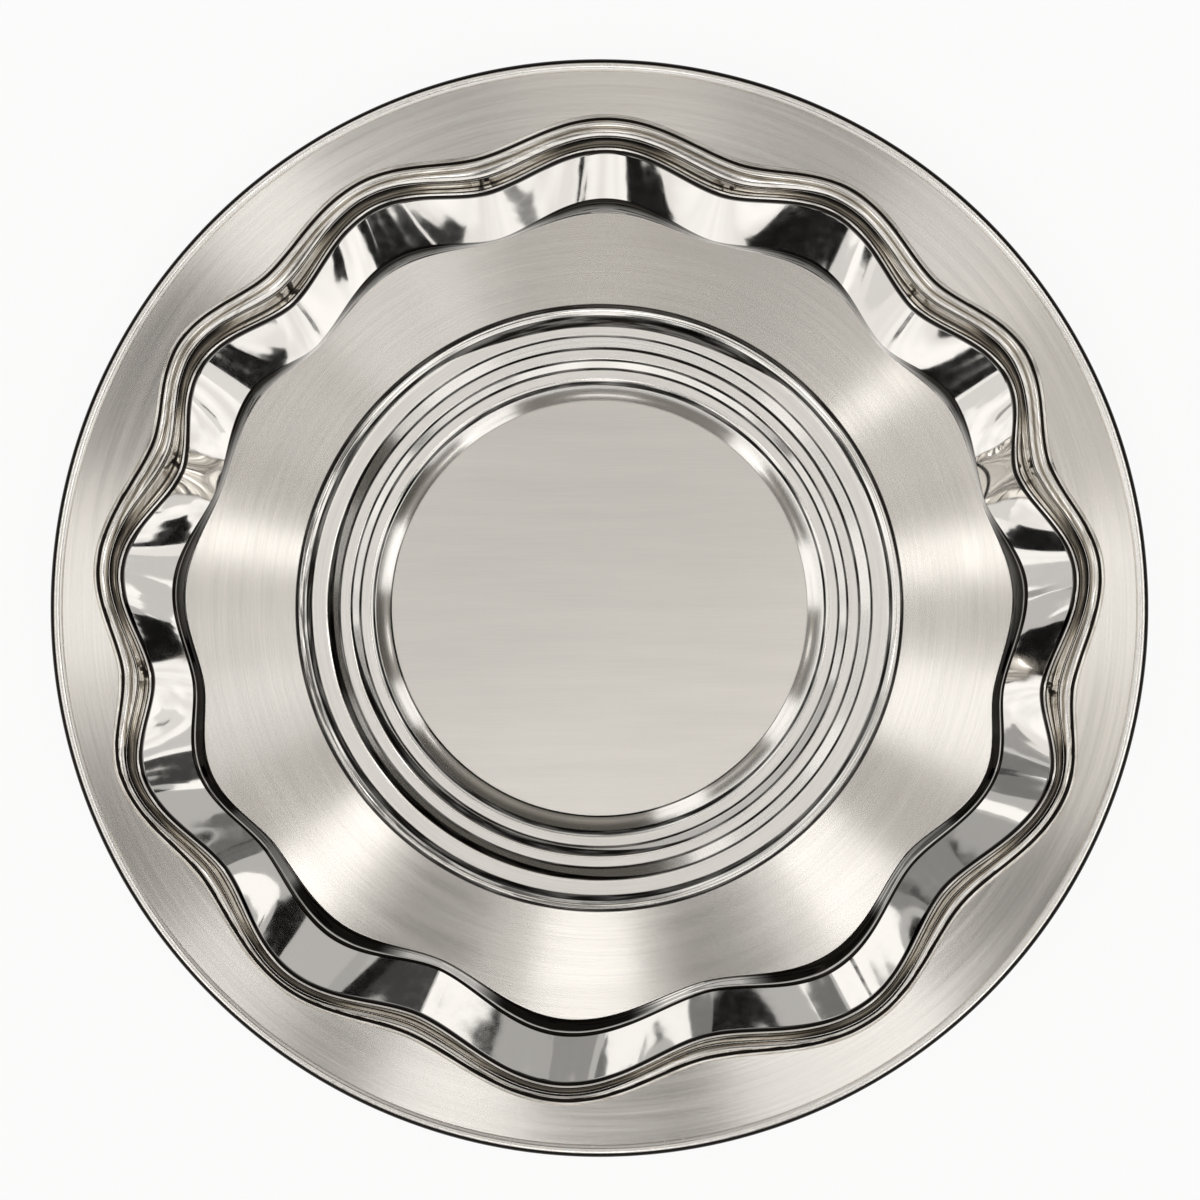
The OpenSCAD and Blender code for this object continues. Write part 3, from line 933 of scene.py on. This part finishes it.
# Studio: strips of cloth hung around a bright room, each from one (azimuth, elevation) to
# another, with its half width and its level, angles in degrees, as the wall mirrors them
STUDIO_STRIPS = (
    # the dimmer side of the room
    (18, 8, 163, 8, 25, 0.5),
    # white cloth on the dimmer side
    (26.5, 13, 28.5, 23.5, 3.2, 1.1), (53, 19, 65, 19, 1.7, 1.1), (103.5, 21, 115, 11, 2.6, 1.05),
    (115, 12, 114, 7.5, 2.6, 1.05), (117.5, 21.8, 129, 21, 1.5, 1.1), (127, 21.3, 153.5, 9, 3, 1.1),
    # gray cloth
    (38, 11.8, 50, 8, 1.3, 0.15), (58, 22, 80, 26.5, 1.5, 0.42), (80, 26.5, 100, 23.3, 1.5, 0.3),
    (101, 11.5, 111, 8.8, 1.6, 0.2), (103, 21, 116, 22, 1.3, 0.17), (124, 6.5, 133, 14, 2, 0.4),
    (126, 6.5, 153, 6.3, 1.3, 0.25), (178, 24, 187.5, 16.5, 1.6, 0.35),
    (163, 10, 176, 22.5, 3.2, 0.55), (176, 24.3, 197, 25.6, 1.4, 0.6),
    (197, 25.6, 216, 26.9, 1.3, 0.75), (197, -3, 214, 6, 5, 0.75), (222, 15, 233, 20, 1.5, 0.7),
    (319, 26.8, 332, 26.6, 1.3, 0.8), (317, 3, 330, -0.5, 3, 0.7), (330, -0.5, 344, -1, 2.2, 0.7),
    (346, 14, 353, 22, 1.8, 0.8), (340, 26, 358, 27, 1.3, 0.62), (357, 26.5, 377, 12.5, 2.6, 0.62),
    # dark gaps, most of them black
    (4, 27.6, 27, 24.6, 1.9, 0.05), (30, 24.5, 41.5, 30.8, 1.9, 0.008),
    (76.5, 24, 80.5, 19.5, 2.2, 0.008), (66, 19.4, 80, 19.4, 1.4, 0.05),
    (90.5, 15.5, 101, 11.5, 1.8, 0.008), (148, 21.3, 176, 24.6, 1.9, 0.2),
    (157, -1, 160.5, 11.5, 4.4, 0.006), (23.5, 0, 18.5, 12.8, 4, 0.006),
    (205.5, 22, 216.5, 13.2, 2.9, 0.006), (218, 26.8, 235, 20.3, 2.5, 0.006),
    (234.5, 21.6, 255, 21.6, 2.1, 0.008), (253, 21.5, 264, 13, 2.8, 0.006),
    (244, 11.5, 256.5, 21, 2.4, 0.008), (274, 12.5, 280.7, 19.5, 1.7, 0.03),
    (281.5, 20.2, 292, 23.3, 1.6, 0.008), (291, 23.5, 304.5, 22.3, 2, 0.006),
    (299, 15, 304.5, 20.5, 1.2, 0.006), (303, 20.5, 320, 27, 1.9, 0.006),
    (323.5, 10.5, 334.5, 23, 2.4, 0.006),
    # small folds
    (53, 20.6, 60, 20.9, 0.6, 0.03), (293, 9.7, 297, 9.7, 0.9, 0.25),
    (228, 10.4, 231, 10.4, 0.4, 0.1), (315, 7, 317.5, 7, 0.4, 0.1),
    (129.7, 20.9, 132, 21, 0.6, 0.05), (147, 5.9, 151, 5.6, 0.4, 0.06),
    (123.5, 6.3, 126, 6.3, 0.6, 0.03), (161, 23.3, 166, 23.2, 0.9, 0.06),
    (346, 18, 350, 19.3, 0.4, 0.1), (115.5, 10.3, 117.5, 9.8, 0.4, 0.15),
    (50.3, 7.9, 53, 7.3, 0.5, 0.03), (43, 9.6, 46.3, 8.8, 0.5, 0.03),
)
# Panels of cloth higher up, as (lowest and highest elevation, then azimuth, half width and level of
# each): the first bands show in the slopes of the centre ring, the next fan out over the brushed
# floor and the last over the brim
STUDIO_PANELS = (
    (35, 43.5, (215, 105, 1)),
    (44, 53, (26.5, 6.5, 1.15), (112.5, 7.5, 1.15), (148.5, 6.5, 1.15), (189, 9, 1.15),
     (226, 6, 1.15), (301.5, 8.5, 1.15), (346, 9, 1.15)),
    (52, 72, (8.5, 4, 2.6), (37, 3, 2.4), (124, 12, 1), (169.5, 3, 2.8), (197, 7, 1.2),
     (223, 5.5, 2.4)),
    (52, 74, (268, 8.5, 2.1)),
    (52, 72, (312, 7, 2.2), (343, 8, 2), (243, 8, 0.15), (290, 8, 0.05)),
    (76, 88, (0, 8, 1.2), (48, 7, 0.8), (66, 10, 0.2), (131, 7, 1.3), (153, 12, 0.08),
     (180, 8, 1.3), (206, 11, 0.05), (226, 7, 0.9), (239, 5, 0.08), (253, 8, 1.6), (273, 11, 0.05),
     (298, 13, 1.4), (322, 11, 0.05), (112, 11, 0.25)),
)
# Distances of the cloths in metres: each strip hangs a little nearer than the one before
ROOM_R = 12.0
STRIP_STEP = 0.05
PANEL_R = 9.0
# How far the strips hang in folds, in degrees, and how many points a degree of cloth has
FOLDS = 0.35
CLOTH_POINTS = 1.5
# The room behind the cloths, as (share of the way from straight down to straight up, level): bright
# walls, a dim band above them and a gray ceiling, brighter in its middle
ROOM_LEVELS = (
    (0, 0.8), (0.467, 0.8), (0.5, 1.1), (0.683, 1.1), (0.7, 0.1), (0.75, 0.06), (0.79, 0.32),
    (0.82, 0.42), (0.84, 0.82), (0.89, 0.9), (0.92, 0.6), (0.97, 0.55), (1, 1.25),
)
WHITE = (1, 1, 1, 1)
# The table is a hair below the plate, so that the two faces don't fight for one plane
TABLE_Z = -0.02 * MM
TABLE_HALF = 5.0
# What the photograph shows across at the height of the rim, and the middle of its picture
PHOTO_WIDTH = 0.3279
PHOTO_MIDDLE = (0.14 * MM, 2.2 * MM)
SENSOR_MM = 36


def room_point(azimuth, elevation, distance):
    """The point in a direction, in degrees, at a distance."""
    a, e = math.radians(azimuth), math.radians(elevation)
    return (distance * math.cos(e) * math.cos(a), distance * math.cos(e) * math.sin(a),
            distance * math.sin(e))


def hung_cloths():
    """The strips and panels of cloth around the room, each a glowing sheet that the metal
    mirrors and the camera doesn't see."""
    points, faces, levels = [], [], []

    def hang(corners, level, distance, slack=0.0):
        """A sheet between two edges, each from one direction to another, hanging in folds."""
        cuts, rows = (2 + int(CLOTH_POINTS * math.dist(corners[0], corners[k])) for k in (1, 2))
        first = len(points)
        for row in range(rows + 1):
            for cut in range(cuts + 1):
                u, v = cut / cuts, row / rows
                near, far = ([begin[k] + (end[k] - begin[k]) * u for k in (0, 1)]
                             for begin, end in (corners[:2], corners[2:]))
                a, e = (near[k] + (far[k] - near[k]) * v for k in (0, 1))
                folds = math.sin(0.9 * e + 0.5 * a) + 0.7 * math.sin(1.7 * e - 1.1 * a)
                points.append(room_point(a + slack * folds, e + slack * math.sin(0.8 * a), distance))
        for row in range(rows):
            for cut in range(cuts):
                low = first + row * (cuts + 1) + cut
                faces.append((low, low + 1, low + cuts + 2, low + cuts + 1))
                levels.append(level)

    for number, (start, low, end, high, half, level) in enumerate(STUDIO_STRIPS):
        long = math.hypot(end - start, high - low)
        across, up = -(high - low) / long * half, (end - start) / long * half
        hang(((start - across, low - up), (end - across, high - up),
              (start + across, low + up), (end + across, high + up)),
             level, ROOM_R - STRIP_STEP * number, FOLDS)
    for low, high, *panels in STUDIO_PANELS:
        for middle, half, level in panels:
            hang(((middle - half, low), (middle + half, low), (middle - half, high),
                  (middle + half, high)), level, PANEL_R)
    mesh = bpy.data.meshes.new("studio_cloths")
    mesh.from_pydata(points, [], faces)
    glow = mesh.attributes.new("level", "FLOAT", "FACE")
    glow.data.foreach_set("value", np.array(levels, dtype=np.float32))
    made = bpy.data.materials.new("lit_cloth")
    tree = empty_tree(made)
    lit = new(tree, "ShaderNodeEmission", {"Color": WHITE, "Strength": attribute(tree, "level")})
    add(tree, "ShaderNodeOutputMaterial", {0: lit})
    made.cycles.emission_sampling = "NONE"
    mesh.materials.append(made)
    cloths = placed("studio_cloths", mesh)
    cloths.visible_camera = False


def studio_world(scene, colour):
    """The room behind the cloths: white to the camera, and what lights the table. Its dim parts
    take on a colour."""
    world = bpy.data.worlds.new("studio_room")
    tree = empty_tree(world)
    view = add(tree, "ShaderNodeTexCoord").outputs["Generated"]
    height = add(tree, "ShaderNodeSeparateXYZ", {0: view}).outputs[2]
    elevation = math_node(tree, "DEGREES", math_node(tree, "ARCSINE", height))
    climb = math_node(tree, "DIVIDE", math_node(tree, "ADD", elevation, 90.0), 180.0)
    uneven = map_range(tree, noise(tree, view, 7.0, 2.0), 0.35, 0.6, 0.8, 1.02)
    level = product(tree, ramp(tree, climb, ROOM_LEVELS), uneven)
    warm = scaled(tree, blend_colours(tree, level, opaque(colour), WHITE), level)
    seen = add(tree, "ShaderNodeLightPath").outputs["Is Camera Ray"]
    tone = blend_colours(tree, seen, warm, WHITE)
    light = new(tree, "ShaderNodeBackground", {"Color": tone, "Strength": 1.0})
    add(tree, "ShaderNodeOutputWorld", {0: light})
    scene.world = world


def table_material(colour):
    """White laminate: matt, and white to the camera and in the metal, but for its shadows."""
    made = bpy.data.materials.new("white_table")
    tree = empty_tree(made)
    matt = new(tree, "ShaderNodeBsdfDiffuse", {"Color": opaque(colour)})
    plain = new(tree, "ShaderNodeEmission", {"Color": WHITE, "Strength": 1.0})
    path = add(tree, "ShaderNodeLightPath").outputs
    seen = math_node(tree, "MAXIMUM", path["Is Camera Ray"], path["Is Glossy Ray"])
    # The tenth that stays matt keeps the shadows
    share = product(tree, seen, 0.9)
    mixed = new(tree, "ShaderNodeMixShader", {0: share, 1: matt, 2: plain})
    add(tree, "ShaderNodeOutputMaterial", {0: mixed})
    return made


class PLATE_OT_stage(bpy.types.Operator):
    """Set the table, the studio tent and the camera over the plate"""

    bl_idname = "plate.stage"
    bl_label = "Studio"

    def execute(self, context):
        scene, look = context.scene, context.scene.studio_look
        mesh = bpy.data.meshes.new("table")
        corners = ((-1, -1), (1, -1), (1, 1), (-1, 1))
        mesh.from_pydata([(x * TABLE_HALF, y * TABLE_HALF, TABLE_Z) for x, y in corners], [], [(0, 1, 2, 3)])
        mesh.materials.append(table_material(look.paper))
        table = placed("table", mesh)
        studio_world(scene, look.room)
        hung_cloths()
        eye = bpy.data.cameras.new("camera")
        eye.sensor_width = SENSOR_MM
        eye.lens = SENSOR_MM * look.distance / PHOTO_WIDTH
        eye.clip_start, eye.clip_end = 0.05, 50
        camera = placed("camera", eye)
        camera.location = (*PHOTO_MIDDLE, BEAD_Z + look.distance)
        scene.camera = camera
        scene.view_settings.view_transform = "Standard"
        return {"FINISHED"}


OPERATORS = (PLATE_OT_shell, PLATE_OT_wire, PLATE_OT_reeds, PLATE_OT_ring, PLATE_OT_disc,
             PLATE_OT_stage)


class PLATE_PT_panel(bpy.types.Panel):
    """Lists the plate's sizes, finishes and pieces"""

    bl_label = "Plate"
    bl_idname = "PLATE_PT_panel"
    bl_space_type = "VIEW_3D"
    bl_region_type = "UI"
    bl_category = "Plate"

    def draw(self, context):
        for group in (context.scene.plate_sizes, context.scene.plate_finish,
                      context.scene.studio_look):
            box = self.layout.box()
            for key in group.__annotations__:
                box.prop(group, key)
        for operator in OPERATORS:
            self.layout.operator(operator.bl_idname)


CLASSES = (PlateSizes, PlateFinish, StudioLook, *OPERATORS, PLATE_PT_panel)


def register():
    for kind in CLASSES:
        bpy.utils.register_class(kind)
    bpy.types.Scene.plate_sizes = PointerProperty(type=PlateSizes)
    bpy.types.Scene.plate_finish = PointerProperty(type=PlateFinish)
    bpy.types.Scene.studio_look = PointerProperty(type=StudioLook)


def unregister():
    del bpy.types.Scene.studio_look
    del bpy.types.Scene.plate_finish
    del bpy.types.Scene.plate_sizes
    for kind in reversed(CLASSES):
        bpy.utils.unregister_class(kind)


def main():
    register()
    bpy.ops.plate.shell()
    bpy.ops.plate.wire()
    bpy.ops.plate.reeds()
    bpy.ops.plate.ring()
    bpy.ops.plate.disc()
    bpy.ops.plate.stage()


if __name__ == "__main__":
    main()
